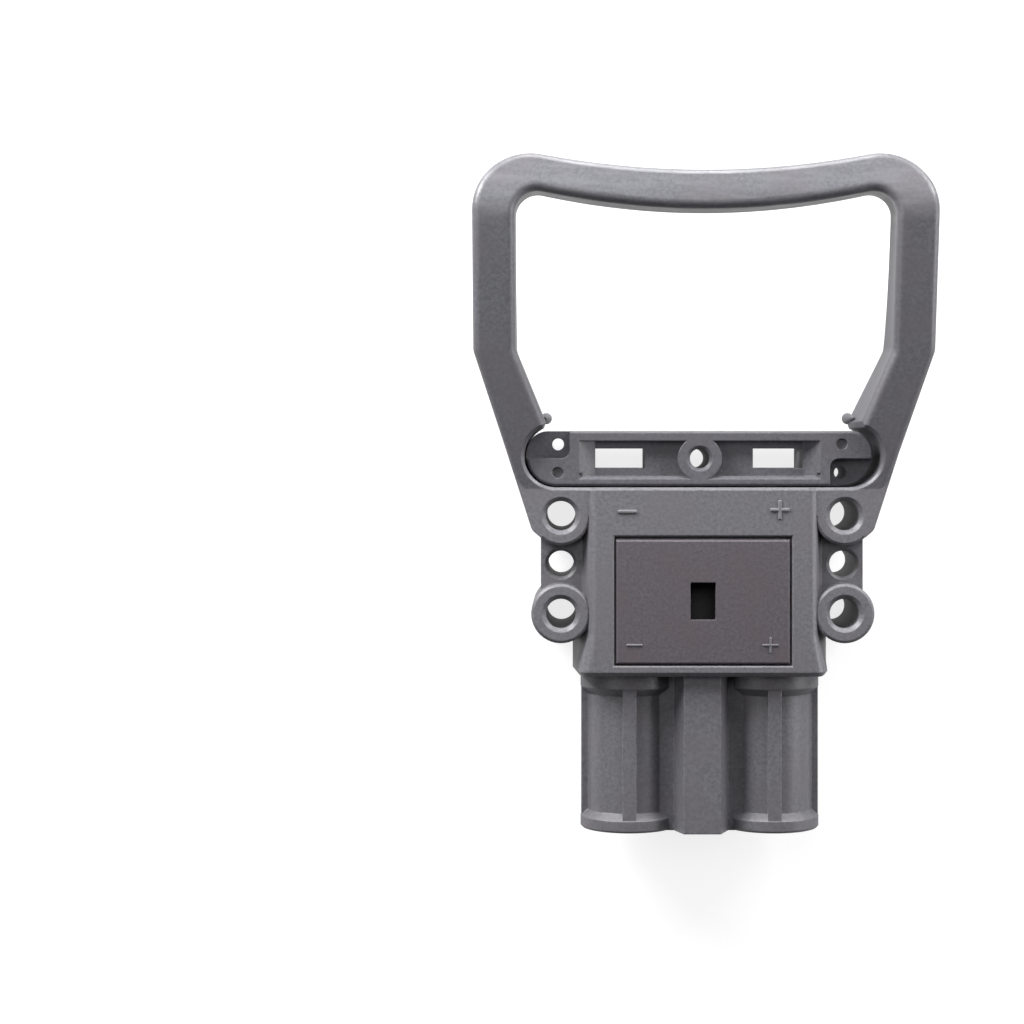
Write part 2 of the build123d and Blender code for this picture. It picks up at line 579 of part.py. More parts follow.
# Cable clamp, front half: drawn about its own middle, then moved into the pocket
with BuildPart() as clamp_half:
    with BuildSketch(front_plane(MID_DEPTH)) as clamp_outline:
        Rectangle(2 * CLAMP_HALF_WIDTH, 2 * CLAMP_HALF_HEIGHT)
        fillet(clamp_outline.vertices().group_by(Axis.Y)[0], CLAMP_LOWER_ROUND)
        fillet(clamp_outline.vertices().group_by(Axis.Y)[-1], CLAMP_UPPER_ROUND)
    extrude(amount=CLAMP_FRONT - MID_DEPTH)
    chamfer(clamp_half.faces().sort_by(Axis.Z)[-1].edges(), CLAMP_EDGE)
    # Channel between the ribs, its floor sloping up at both ends and its lower edge bevelled
    with BuildSketch(Plane.XZ):
        with BuildLine():
            floor = CLAMP_FRONT - CLAMP_CHANNEL_DEPTH
            Polyline(
                (-CLAMP_CHANNEL_HALF_WIDTH, CLAMP_FRONT),
                (CLAMP_RAMP - CLAMP_CHANNEL_HALF_WIDTH, floor),
                (CLAMP_CHANNEL_HALF_WIDTH - CLAMP_RAMP, floor),
                (CLAMP_CHANNEL_HALF_WIDTH, CLAMP_FRONT),
                close=True,
            )
        make_face()
    extrude(amount=CLAMP_HALF_HEIGHT - CLAMP_RIB, both=True, mode=Mode.SUBTRACT)
    with BuildSketch(Plane.YZ.offset(-CLAMP_CHANNEL_HALF_WIDTH)):
        with BuildLine():
            channel_side = CLAMP_RIB - CLAMP_HALF_HEIGHT
            Polyline(
                (channel_side - CLAMP_RIB_EDGE, CLAMP_FRONT),
                (channel_side, CLAMP_FRONT - CLAMP_RIB_EDGE),
                (channel_side + CLAMP_RIB_EDGE, CLAMP_FRONT - CLAMP_RIB_EDGE),
                (channel_side + CLAMP_RIB_EDGE, CLAMP_FRONT),
                close=True,
            )
        make_face()
    extrude(amount=2 * CLAMP_CHANNEL_HALF_WIDTH, mode=Mode.SUBTRACT)
    with BuildSketch(front_plane(MID_DEPTH)):
        Circle(CLAMP_BOSS_RADIUS)
    extrude(amount=CLAMP_FRONT - MID_DEPTH)
    # Saddles for the two cables, and the windows over them
    with BuildSketch(across(0, -CLAMP_HALF_HEIGHT - BEYOND)):
        with Locations((-TOWER_X, 0), (TOWER_X, 0)):
            Circle(CLAMP_SADDLE_RADIUS)
    extrude(amount=2 * (CLAMP_HALF_HEIGHT + BEYOND), mode=Mode.SUBTRACT)
    with BuildSketch(front_plane(MID_DEPTH)):
        with Locations((-CLAMP_WINDOW_X, 0), (CLAMP_WINDOW_X, 0)):
            Rectangle(*CLAMP_WINDOW)
    extrude(amount=TALL, mode=Mode.SUBTRACT)
    # Opposite corners stepped down, each with a screw hole; the other corners keep a dimple
    with BuildSketch(front_plane(CLAMP_FRONT - CLAMP_END_RECESS)):
        with Locations((-CLAMP_HALF_WIDTH, CLAMP_HALF_HEIGHT), (CLAMP_HALF_WIDTH, -CLAMP_HALF_HEIGHT)):
            RectangleRounded(2 * CLAMP_END_RECESS_LENGTH, 2 * CLAMP_HALF_HEIGHT, CLAMP_END_ROUND)
    extrude(amount=TALL, mode=Mode.SUBTRACT)
    with BuildSketch(front_plane(MID_DEPTH)):
        with Locations((-CLAMP_SCREW_X, CLAMP_SCREW_OFFSET), (CLAMP_SCREW_X, -CLAMP_SCREW_OFFSET)):
            Circle(CLAMP_SCREW_RADIUS)
        Circle(CLAMP_BOSS_HOLE)
    extrude(amount=TALL, mode=Mode.SUBTRACT)
    with BuildSketch(front_plane(CLAMP_FRONT - CLAMP_DIMPLE_DEPTH)):
        with Locations((-CLAMP_SCREW_X, -CLAMP_SCREW_OFFSET), (CLAMP_SCREW_X, CLAMP_SCREW_OFFSET)):
            Circle(CLAMP_DIMPLE_RADIUS)
    extrude(amount=TALL, mode=Mode.SUBTRACT)
    with BuildSketch(front_plane(CLAMP_FRONT)):
        Circle(CLAMP_BOSS_HOLE + CLAMP_BOSS_CHAMFER)
    extrude(amount=-CLAMP_BOSS_CHAMFER, taper=45, mode=Mode.SUBTRACT)

with BuildPart() as cable_clamp_front:
    with Locations((CLAMP_X, CLAMP_Y, 0)):
        add(clamp_half.part)

cable_clamp_front.part.label = "cable_clamp_front"
export_step(cable_clamp_front.part, "parts/cable_clamp_front.step")

# Cable clamp, rear half: the mirror image, with a hexagonal pocket for a nut behind each screw hole
with BuildPart() as cable_clamp_rear:
    with Locations((CLAMP_X, CLAMP_Y, 0)):
        add(clamp_half.part.mirror(front_plane(MID_DEPTH)))
    with BuildSketch(front_plane(CLAMP_RECESS + CLAMP_END_RECESS)):
        with Locations((CLAMP_X, CLAMP_Y)):
            with Locations((-CLAMP_SCREW_X, CLAMP_SCREW_OFFSET), (CLAMP_SCREW_X, -CLAMP_SCREW_OFFSET)):
                RegularPolygon(CLAMP_NUT_RADIUS, 6)
    extrude(amount=CLAMP_NUT_DEPTH, mode=Mode.SUBTRACT)

cable_clamp_rear.part.label = "cable_clamp_rear"
export_step(cable_clamp_rear.part, "parts/cable_clamp_rear.step")
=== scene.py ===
"""Looks of a battery connector plug: plastics, plated contacts, raised polarity signs and a white table.

The file is laid out as a Blender add-on and run as a script. Lengths are in metres. The origin is the
middle of the four fixing holes on the flat back, +Z points out of the front and +Y points towards the
pull handle.
"""
import math

import bmesh
import bpy
from bpy.props import FloatProperty, FloatVectorProperty, PointerProperty
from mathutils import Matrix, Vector


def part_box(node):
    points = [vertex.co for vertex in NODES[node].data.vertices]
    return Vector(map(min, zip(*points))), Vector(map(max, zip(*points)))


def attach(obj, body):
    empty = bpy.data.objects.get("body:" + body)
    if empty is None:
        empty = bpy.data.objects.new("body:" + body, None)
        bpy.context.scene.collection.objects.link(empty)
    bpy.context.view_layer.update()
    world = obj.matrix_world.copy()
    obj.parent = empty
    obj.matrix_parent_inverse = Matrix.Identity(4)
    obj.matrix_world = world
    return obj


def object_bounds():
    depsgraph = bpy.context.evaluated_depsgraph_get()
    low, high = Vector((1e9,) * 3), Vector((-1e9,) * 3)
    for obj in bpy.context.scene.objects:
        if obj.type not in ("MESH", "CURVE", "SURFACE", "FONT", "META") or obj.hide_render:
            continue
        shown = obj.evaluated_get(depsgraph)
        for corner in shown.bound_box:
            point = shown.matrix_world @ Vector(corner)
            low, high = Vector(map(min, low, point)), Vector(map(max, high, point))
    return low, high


bl_info = {
    "name": "Battery connector plug",
    "version": (1, 0, 0),
    "blender": (4, 5, 0),
    "location": "3D View > Sidebar > Connector",
    "description": "Finishes and moulded signs for a battery connector plug with a pull handle",
    "category": "Object",
}

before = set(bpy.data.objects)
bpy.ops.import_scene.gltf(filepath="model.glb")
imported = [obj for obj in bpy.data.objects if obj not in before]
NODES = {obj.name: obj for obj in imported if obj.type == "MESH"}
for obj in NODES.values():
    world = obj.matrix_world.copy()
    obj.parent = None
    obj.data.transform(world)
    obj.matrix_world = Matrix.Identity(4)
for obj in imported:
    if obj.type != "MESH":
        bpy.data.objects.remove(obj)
CAD_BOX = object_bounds()

MM = 0.001
BODY = "root"

# Which nodes share a finish
CLAMP_NODES = ("cable_clamp_front", "cable_clamp_rear")
CONTACT_NODES = ("contact_negative", "contact_positive")
CLIP_NODES = ("contact_clip_negative", "contact_clip_positive")

# Polarity signs: name, middle across and middle up in millimetres, whether it has the upright bar
BODY_SIGNS = (("body_minus", -21.6, 15.2, False), ("body_plus", 21.9, 15.7, True))
PLATE_SIGNS = (("plate_minus", -19.6, -22.9, False), ("plate_plus", 19.2, -22.9, True))

# How a sign's bars are shaped
SIGN_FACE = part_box("rating_plate")[1].z  # the body's front and the plate's are level
SIGN_SUNK = 0.3 * MM  # the bars reach this far into their face
SIGN_ROUND = 0.42  # of a bar's width
SIGN_ROUND_STEPS = 5
SIGN_TOP_ZONE = 0.01 * MM  # corners this near to a bar's top belong to it

# Smaller pieces have finer edges than the housing, by these factors
SMALL_MOULDING_EDGE = 0.6
METAL_EDGE = 0.5

# Heights on the handle: the smooth legs take over from the grained body and are painted with shade, and
# hands rub the grip, which is partly painted sheen
LEGS_START = (18.0 * MM, 26.0 * MM)
GRIP_WEAR_AND_SHEEN = (88.0 * MM, 104.0 * MM)

# The line round the housing where the two halves of the mould met
PARTING_DEPTH = 17.5 * MM
PARTING_RIDGE = (0.08 * MM, 0.16 * MM)  # from its middle to the edge of its top, and to its foot
PARTING_HEIGHT = 0.08 * MM
PARTING_STRENGTH = 0.8

# Noise behind the marks: how large a mark is, how many finer layers it has and how strong they are
CLOUDS = {"size": 16.0 * MM, "detail": 3.0}
MOTTLE = {"size": 1.0 * MM, "detail": 4.0, "roughness": 0.72}
SPECKS = {"detail": 3.0, "roughness": 0.7}
STREAKS = {"size": 2.2 * MM, "detail": 3.0}
TARNISH = {"size": 5.0 * MM, "detail": 4.0, "roughness": 0.6}
TOOL_RINGS = {"size": 0.12 * MM}
STREAKS_SQUEEZE = (0.16, 1.0, 0.4)  # the streaks run along the grip
RINGS_SQUEEZE = (0.02, 1.0, 0.02)  # the rings run round a contact

# Where a mark begins to show in its noise, and where it shows fully
MOTTLE_LEVELS = (0.34, 0.66)
SPECK_LEVELS = (0.52, 0.72)
CLOUD_LEVELS = (0.4, 0.65)
STREAK_LEVELS = (0.42, 0.68)
# the paler edges are partly scuffs and partly painted highlight
EDGE_SCUFF_AND_HIGHLIGHT_LEVELS = (0.42, 0.6)
TARNISH_LEVELS = (0.42, 0.7)

# How far the rounded normal leans from the face's own, as a cosine: on an edge, and on a flat face
EDGE_LEVELS = (0.8, 0.995)

# Tints of the marks, as factors of the finish's colour
MOTTLE_DARK = 0.8
MOTTLE_PALE = 1.2
SPECK_TINT = (1.5, 1.5, 1.55)
CLOUD_TINT = (1.08, 0.97, 0.96)
# painted sheen: the grip's paler streaks are partly scuffing by hands and partly painted light on the grip
RUBBED_AND_SHEEN_PALE = 1.4
# painted highlight: edges are made paler, partly as scuffs and partly as highlights on the bevels
EDGE_SCUFF_AND_HIGHLIGHT = 2.0
TARNISH_DARK = 0.72
LEG_PAINTED_SHADE = (0.86, 0.87, 0.88, 1.0)  # painted shade: the smooth legs are made a little darker and bluer

# Shares of the marks
SPECK_SHARE = 0.75
CLEAN_SPECK_LOSS = 0.4  # the specks' share falls by this much on the clean legs
CLEAN_GRAIN_LOSS = 0.6  # and the grain's relief by this part of itself
CLOUD_SHARE = 0.5
# painted sheen and scuffing on the grip
RUBBED_AND_SHEEN_SHARE = 0.4
EDGE_SCUFF_AND_HIGHLIGHT_SHARES = (0.1, 0.85)  # of an edge's paleness, part scuff and part painted highlight: where it is least and most

# Roughness follows a noise: it starts this far below its middle value and swings up by these amounts
ROUGH_DROP = 0.08
PLASTIC_SWING = 0.16
METAL_SWING = 0.2
RUBBED_SMOOTHER = 0.06

# Relief and gloss
GRAIN_RELIEF = 0.06 * MM
RING_RELIEF = 0.02 * MM
RING_STRENGTH = 0.25
PLASTIC_SPECULAR = 0.6
EDGE_SAMPLES = 6

# Sockets of a Mix node that is set to colours: its factor, its two colours and its result
MIX_FACTOR = 0
MIX_COLOURS = (6, 7)
MIX_RESULT = 2

# Lamps: name, azimuth in degrees clockwise from +Y, elevation in degrees
LAMPS = (
    ("back_left", -45.0, 20.0),
    ("back", 0.0, 9.0),
    ("back_right", 45.0, 20.0),
    ("right", 90.0, 20.0),
    ("high", 0.0, 70.0),
    ("left", -90.0, 50.0),
)
LAMP_TARGET = (0.0, 20.0 * MM, 20.0 * MM)

# The table lies just under the back
TABLE_REACH = 3.0  # from its middle to each side
TABLE_DROP = 0.1 * MM

# The table's own glow as the camera sees it, near the connector, and how much of it mirrors show
TABLE_FILL = 0.8
TABLE_MIRRORED = 0.42
TABLE_FADE = (0.15, 0.45)  # the glow grows to plain white between these distances

# The share of the table's colour that takes light: seen by the camera, where it shows the shadow, and
# as it lights the connector from below
TABLE_SHADOW = 0.36
TABLE_BOUNCE = 0.42

WHITE = (1.0, 1.0, 1.0, 1.0)

# The camera looks straight down from this place, and the picture's middle is off its axis by so many pixels
CAMERA_ACROSS = -37.7 * MM
CAMERA_UP = 32.8 * MM
CAMERA_SHIFT = (-59.0, -62.0)
CAMERA_RANGE = (0.01, 20.0)
STRAIGHT_DOWN = (1.0, 0.0, 0.0, 0.0)
IMAGE_SIDE = 1024.0
SENSOR = 36.0


def length_property(name, description, default):
    return FloatProperty(name=name, description=description, default=default, unit="LENGTH")


def power_property(name, description, default):
    return FloatProperty(name=name, description=description, default=default, min=0.0, unit="POWER")


def colour_property(name, description, default):
    return FloatVectorProperty(
        name=name, description=description, default=default, subtype="COLOR", min=0.0, max=1.0
    )


class ConnectorSizes(bpy.types.PropertyGroup):
    """Sizes of the details that are added to the frame."""

    sign_length: length_property("Sign length", "Length of each bar of a sign on the body", 5.7 * MM)
    sign_width: length_property("Sign width", "Width of a bar on the body", 1.15 * MM)
    sign_height: length_property("Sign height", "How far a sign on the body stands proud", 0.5 * MM)
    plate_sign_length: length_property("Plate sign length", "Length of each bar on the plate", 4.7 * MM)
    plate_sign_width: length_property("Plate sign width", "Width of a bar on the plate", 0.7 * MM)
    plate_sign_height: length_property("Plate sign height", "How far a plate sign stands proud", 0.3 * MM)
    edge_round: length_property("Edge round", "How soft the moulded edges look", 0.45 * MM)


class ConnectorColours(bpy.types.PropertyGroup):
    """Colours of the finishes, as scene-linear values."""

    housing: colour_property("Housing", "Moulded housing", (0.104, 0.1035, 0.1145))
    plate: colour_property("Plate", "Rating plate", (0.068, 0.0598, 0.0693))
    clamp: colour_property("Clamp", "Cable clamp halves", (0.078, 0.0775, 0.089))
    coding: colour_property("Coding pin", "Coding pin behind the window", (0.02, 0.02, 0.023))
    silver: colour_property("Silver", "Plating of the contacts", (0.83, 0.81, 0.77))
    steel: colour_property("Steel", "Spring steel of the clips", (0.56, 0.57, 0.58))
    floor: colour_property("Table", "White table", (0.86, 0.86, 0.86))


class ConnectorStudio(bpy.types.PropertyGroup):
    """The camera and the lamps."""

    focal_pixels: FloatProperty(
        name="Focal length", description="In pixels of the square picture", default=2145.5
    )
    camera_height: length_property("Camera height", "Above the back of the housing", 648.0 * MM)
    lamp_distance: length_property("Lamp distance", "From the connector to each softbox", 600.0 * MM)
    lamp_side: length_property("Lamp side", "Side of each square softbox", 270.0 * MM)
    back_left: power_property("Back left softbox", "Low, beyond the grip on the left", 7.2)
    back: power_property("Back softbox", "Low, straight beyond the grip", 4.2)
    back_right: power_property("Back right softbox", "Low, beyond the grip on the right", 4.1)
    right: power_property("Right softbox", "Low, beside the positive contact", 1.5)
    high: power_property("High softbox", "High above the grip", 0.65)
    left: power_property("Left softbox", "Halfway up, beside the negative contact", 0.6)
    room: FloatProperty(
        name="Room", description="Brightness of the white room on the connector", default=0.03
    )


class NodeSheet:
    """Builds a material's nodes: each call adds one node, sets its values and links its inputs."""

    def __init__(self, name):
        self.material = bpy.data.materials.new(name)
        self.material.use_nodes = True
        self.nodes = self.material.node_tree.nodes
        self.links = self.material.node_tree.links
        self.shader = self.nodes["Principled BSDF"]
        self.output = self.nodes["Material Output"]
        self.place = self.nodes.new("ShaderNodeTexCoord").outputs["Object"]

    def link(self, source, target):
        self.links.new(source, target)

    def put(self, value, socket):
        """Sets a socket to a plain value, or links it when the value is another node's output."""
        if isinstance(value, bpy.types.NodeSocket):
            self.link(value, socket)
        else:
            socket.default_value = value

    def math(self, operation, *values, clamp=False):
        """One step of arithmetic on numbers or other nodes' outputs."""
        node = self.nodes.new("ShaderNodeMath")
        node.operation = operation
        node.use_clamp = clamp
        for socket, value in zip(node.inputs, values):
            self.put(value, socket)
        return node.outputs["Value"]

    def noise(self, size, detail=2.0, roughness=0.5, place=None):
        """Noise whose features are about this many metres across."""
        node = self.nodes.new("ShaderNodeTexNoise")
        node.inputs["Scale"].default_value = 1.0 / size
        node.inputs["Detail"].default_value = detail
        node.inputs["Roughness"].default_value = roughness
        self.link(place or self.place, node.inputs["Vector"])
        return node.outputs["Fac"]

    def spread(self, value, low, high, to_low=0.0, to_high=1.0):
        """Maps one range of a value smoothly to another."""
        node = self.nodes.new("ShaderNodeMapRange")
        node.interpolation_type = "SMOOTHSTEP"
        settings = {"Value": value, "From Min": low, "From Max": high, "To Min": to_low, "To Max": to_high}
        for key, setting in settings.items():
            self.put(setting, node.inputs[key])
        return node.outputs["Result"]

    def mix_colours(self, amount, first, second, blend="MIX"):
        """The first colour, covered or multiplied by this amount of the second."""
        node = self.nodes.new("ShaderNodeMix")
        node.data_type = "RGBA"
        node.blend_type = blend
        self.put(amount, node.inputs[MIX_FACTOR])
        for index, colour in zip(MIX_COLOURS, (first, second)):
            self.put(colour, node.inputs[index])
        return node.outputs[MIX_RESULT]

    def rounded_normal(self, radius):
        """The surface's normal with its edges rounded off."""
        node = self.nodes.new("ShaderNodeBevel")
        node.samples = EDGE_SAMPLES
        node.inputs["Radius"].default_value = radius
        return node.outputs["Normal"]

    def edge_mask(self, normal):
        """1 along the edges and 0 on the faces."""
        geometry = self.nodes.new("ShaderNodeNewGeometry")
        dot = self.nodes.new("ShaderNodeVectorMath")
        dot.operation = "DOT_PRODUCT"
        self.link(normal, dot.inputs[0])
        self.link(geometry.outputs["Normal"], dot.inputs[1])
        return self.spread(dot.outputs["Value"], *EDGE_LEVELS, to_low=1.0, to_high=0.0)

    def bump(self, height, strength, distance, normal):
        """The normal with a relief of this height on it."""
        node = self.nodes.new("ShaderNodeBump")
        node.inputs["Distance"].default_value = distance
        self.put(strength, node.inputs["Strength"])
        self.link(height, node.inputs["Height"])
        self.link(normal, node.inputs["Normal"])
        return node.outputs["Normal"]

    def along(self, axis):
        """The place along one axis, in metres."""
        parts = self.nodes.new("ShaderNodeSeparateXYZ")
        self.link(self.place, parts.inputs["Vector"])
        return parts.outputs[axis]

    def squeezed(self, scale):
        """The place with each axis scaled, so that marks grow long where the scale is small."""
        mapping = self.nodes.new("ShaderNodeMapping")
        mapping.inputs["Scale"].default_value = scale
        self.link(self.place, mapping.inputs["Vector"])
        return mapping.outputs["Vector"]


def tinted(colour, factors):
    """The colour with each channel made darker or paler by its own factor."""
    return tuple(min(1.0, channel * factor) for channel, factor in zip(colour, factors)) + (1.0,)


def shade(colour, factor):
    """The colour made darker or paler."""
    return tinted(colour, (factor, factor, factor))


def plastic_tone(sheet, colour, mottle, specks, speck_share):
    """The plastic's colour with its mottling, its pale specks and its warmer clouds."""
    mottling = sheet.spread(mottle, *MOTTLE_LEVELS)
    tone = sheet.mix_colours(mottling, shade(colour, MOTTLE_DARK), shade(colour, MOTTLE_PALE))
    speck_mask = sheet.math("MULTIPLY", sheet.spread(specks, *SPECK_LEVELS), speck_share)
    tone = sheet.mix_colours(speck_mask, tone, tinted(colour, SPECK_TINT))
    clouds = sheet.spread(sheet.noise(**CLOUDS), *CLOUD_LEVELS)
    cloud_mask = sheet.math("MULTIPLY", clouds, CLOUD_SHARE)
    return sheet.mix_colours(cloud_mask, tone, tinted(colour, CLOUD_TINT))


def paint_grip_sheen_and_rub(sheet, colour, tone, roughness):
    """Makes the tone paler and the surface smoother where hands rub the grip, in streaks; the paler tone is
    partly scuffing by hands and partly painted sheen.
    """
    grip_band = sheet.spread(sheet.along("Y"), *GRIP_WEAR_AND_SHEEN)
    streaks = sheet.noise(place=sheet.squeezed(STREAKS_SQUEEZE), **STREAKS)
    rubbed_and_lit = sheet.math("MULTIPLY", grip_band, sheet.spread(streaks, *STREAK_LEVELS))
    covered = sheet.math("MULTIPLY", rubbed_and_lit, RUBBED_AND_SHEEN_SHARE)
    paler = sheet.mix_colours(covered, tone, shade(colour, RUBBED_AND_SHEEN_PALE))
    smoother = sheet.math("SUBTRACT", roughness, sheet.math("MULTIPLY", rubbed_and_lit, RUBBED_SMOOTHER))
    return paler, smoother


def parting_line(sheet, normal):
    """The normal with the fine ridge where the two halves of the mould met."""
    away = sheet.math("ABSOLUTE", sheet.math("SUBTRACT", sheet.along("Z"), PARTING_DEPTH))
    ridge = sheet.spread(away, *PARTING_RIDGE, to_low=1.0, to_high=0.0)
    return sheet.bump(ridge, PARTING_STRENGTH, PARTING_HEIGHT, normal)


def moulded_plastic(name, colour, edge_round, grain, grain_strength, rough, has_handle=False):
    """Glass-filled plastic out of a spark-eroded mould: fine grain, faint clouds and paler edges, partly
    scuffs and partly painted highlight.
    """
    sheet = NodeSheet(name)
    mottle = sheet.noise(**MOTTLE)
    specks = sheet.noise(grain, **SPECKS)
    strength = grain_strength
    speck_share = SPECK_SHARE
    if has_handle:
        smooth_shaded_legs = sheet.spread(sheet.along("Y"), *LEGS_START)
        strength = sheet.math("MULTIPLY_ADD", smooth_shaded_legs, -CLEAN_GRAIN_LOSS * grain_strength, grain_strength)
        speck_share = sheet.math("MULTIPLY_ADD", smooth_shaded_legs, -CLEAN_SPECK_LOSS, SPECK_SHARE)
    tone = plastic_tone(sheet, colour, mottle, specks, speck_share)
    roughness = sheet.math("MULTIPLY_ADD", mottle, PLASTIC_SWING, rough - ROUGH_DROP)
    if has_handle:
        # painted shade: the smooth legs are made a little darker and bluer
        tone = sheet.mix_colours(smooth_shaded_legs, tone, LEG_PAINTED_SHADE, blend="MULTIPLY")
        # painted sheen: the grip is made paler in streaks, partly as scuffing by hands
        tone, roughness = paint_grip_sheen_and_rub(sheet, colour, tone, roughness)
    normal = sheet.rounded_normal(edge_round)
    # painted highlight: edges are made paler, partly as scuffs and partly standing in for highlights on the
    # bevels
    scuff_and_highlight_spread = sheet.spread(mottle, *EDGE_SCUFF_AND_HIGHLIGHT_LEVELS, *EDGE_SCUFF_AND_HIGHLIGHT_SHARES)
    scuffed_and_lit = sheet.math("MULTIPLY", sheet.edge_mask(normal), scuff_and_highlight_spread)
    tone = sheet.mix_colours(scuffed_and_lit, tone, shade(colour, EDGE_SCUFF_AND_HIGHLIGHT))
    surface = sheet.bump(specks, strength, GRAIN_RELIEF, normal)
    if has_handle:
        surface = parting_line(sheet, surface)
    sheet.link(tone, sheet.shader.inputs["Base Color"])
    sheet.link(roughness, sheet.shader.inputs["Roughness"])
    sheet.link(surface, sheet.shader.inputs["Normal"])
    sheet.shader.inputs["Specular IOR Level"].default_value = PLASTIC_SPECULAR
    return sheet.material


def plated_metal(name, colour, edge_round, rough):
    """Plated or bright turned metal: fine rings of the tool round the part, and a little tarnish."""
    sheet = NodeSheet(name)
    tarnish = sheet.noise(**TARNISH)
    rings = sheet.noise(place=sheet.squeezed(RINGS_SQUEEZE), **TOOL_RINGS)
    dulled = sheet.spread(tarnish, *TARNISH_LEVELS)
    tone = sheet.mix_colours(dulled, shade(colour, 1.0), shade(colour, TARNISH_DARK))
    roughness = sheet.math("MULTIPLY_ADD", tarnish, METAL_SWING, rough - ROUGH_DROP)
    surface = sheet.bump(rings, RING_STRENGTH, RING_RELIEF, sheet.rounded_normal(edge_round))
    sheet.link(tone, sheet.shader.inputs["Base Color"])
    sheet.link(roughness, sheet.shader.inputs["Roughness"])
    sheet.link(surface, sheet.shader.inputs["Normal"])
    sheet.shader.inputs["Metallic"].default_value = 1.0
    return sheet.material


def finish(material, *names):
    """Gives CAD nodes a material."""
    for name in names:
        mesh = NODES[name].data
        mesh.materials.clear()
        mesh.materials.append(material)


def mesh_from(shape, name, material):
    """Turns a bmesh into a mesh with one material."""
    mesh = bpy.data.meshes.new(name)
    shape.to_mesh(mesh)
    shape.free()
    mesh.materials.append(material)
    return mesh


def add_object(name, data):
    """Adds an object to the scene."""
    added = bpy.data.objects.new(name, data)
    bpy.context.scene.collection.objects.link(added)
    return added


def is_top_rim(edge, top):
    """Whether an edge of a bar runs round its top."""
    return all(vert.co.z > top - SIGN_TOP_ZONE for vert in edge.verts)


def is_upright(edge):
    """Whether an edge of a bar runs from its sunk foot to its top."""
    return abs(edge.verts[0].co.z - edge.verts[1].co.z) > SIGN_SUNK


def raised_bar(shape, centre, length, width, height, upright):
    """Adds one rounded bar of a sign, sunk a little into its face."""
    bar = bmesh.ops.create_cube(shape, size=1.0)["verts"]
    across, up = (width, length) if upright else (length, width)
    bmesh.ops.scale(shape, vec=(across, up, height + SIGN_SUNK), verts=bar)
    middle = (centre[0], centre[1], SIGN_FACE + (height - SIGN_SUNK) / 2)
    bmesh.ops.translate(shape, vec=middle, verts=bar)
    top = max(vert.co.z for vert in bar)
    edges = dict.fromkeys(edge for vert in bar for edge in vert.link_edges)
    bmesh.ops.bevel(
        shape,
        geom=[edge for edge in edges if is_top_rim(edge, top) or is_upright(edge)],
        offset=SIGN_ROUND * width,
        offset_type="OFFSET",
        segments=SIGN_ROUND_STEPS,
        profile=0.5,
        affect="EDGES",
        clamp_overlap=True,
        material=-1,
    )


def polarity_sign(name, x, y, has_upright, form, slot):
    """Makes a raised minus, or a plus where it has the upright bar, and rides it on the body."""
    shape = bmesh.new()
    centre = (x * MM, y * MM)
    raised_bar(shape, centre, *form, upright=False)
    if has_upright:
        raised_bar(shape, centre, *form, upright=True)
    piece = add_object(name, mesh_from(shape, name, bpy.data.materials[slot]))
    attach(piece, BODY)


def softbox(name, azimuth, elevation, studio, power):
    """A square lamp: its azimuth runs clockwise from +Y, as seen from the front."""
    across, up = math.radians(azimuth), math.radians(elevation)
    direction = Vector((math.cos(up) * math.sin(across), math.cos(up) * math.cos(across), math.sin(up)))
    lamp = bpy.data.lights.new(name, "AREA")
    lamp.shape = "SQUARE"
    lamp.size = studio.lamp_side
    lamp.energy = power
    box = add_object(name, lamp)
    target = Vector(LAMP_TARGET)
    box.location = target + direction * studio.lamp_distance
    box.rotation_mode = "QUATERNION"
    box.rotation_quaternion = (target - box.location).to_track_quat("-Z", "Y")


def seen_directly(sheet):
    """1 for rays from the camera, which show the plain white background, and less for mirrored ones."""
    path = sheet.nodes.new("ShaderNodeLightPath")
    mirrored = sheet.math("MULTIPLY", path.outputs["Is Glossy Ray"], TABLE_MIRRORED)
    return sheet.math("ADD", path.outputs["Is Camera Ray"], mirrored, clamp=True)


def table_white(colour):
    """White that glows for the camera, so that it reads as plain paper, and still shows a shadow."""
    sheet = NodeSheet("table_white")
    sheet.nodes.remove(sheet.shader)
    seen = seen_directly(sheet)
    diffuse = sheet.nodes.new("ShaderNodeBsdfDiffuse")
    tone = sheet.mix_colours(seen, shade(colour, TABLE_BOUNCE), shade(colour, TABLE_SHADOW))
    sheet.link(tone, diffuse.inputs["Color"])
    distance = sheet.nodes.new("ShaderNodeVectorMath")
    distance.operation = "LENGTH"
    sheet.link(sheet.place, distance.inputs[0])
    fill = sheet.spread(distance.outputs["Value"], *TABLE_FADE, to_low=TABLE_FILL)
    glow = sheet.nodes.new("ShaderNodeEmission")
    sheet.link(sheet.math("MULTIPLY", seen, fill), glow.inputs["Strength"])
    lit = sheet.nodes.new("ShaderNodeAddShader")
    sheet.link(diffuse.outputs["BSDF"], lit.inputs[0])
    sheet.link(glow.outputs["Emission"], lit.inputs[1])
    sheet.link(lit.outputs["Shader"], sheet.output.inputs["Surface"])
    return sheet.material


def make_table(colour):
    """Lays the white table under the connector."""
    shape = bmesh.new()
    bmesh.ops.create_grid(shape, x_segments=1, y_segments=1, size=TABLE_REACH)
    bmesh.ops.translate(shape, vec=(0.0, 0.0, CAD_BOX[0].z - TABLE_DROP), verts=shape.verts)
    table = add_object("table", mesh_from(shape, "table", table_white(colour)))


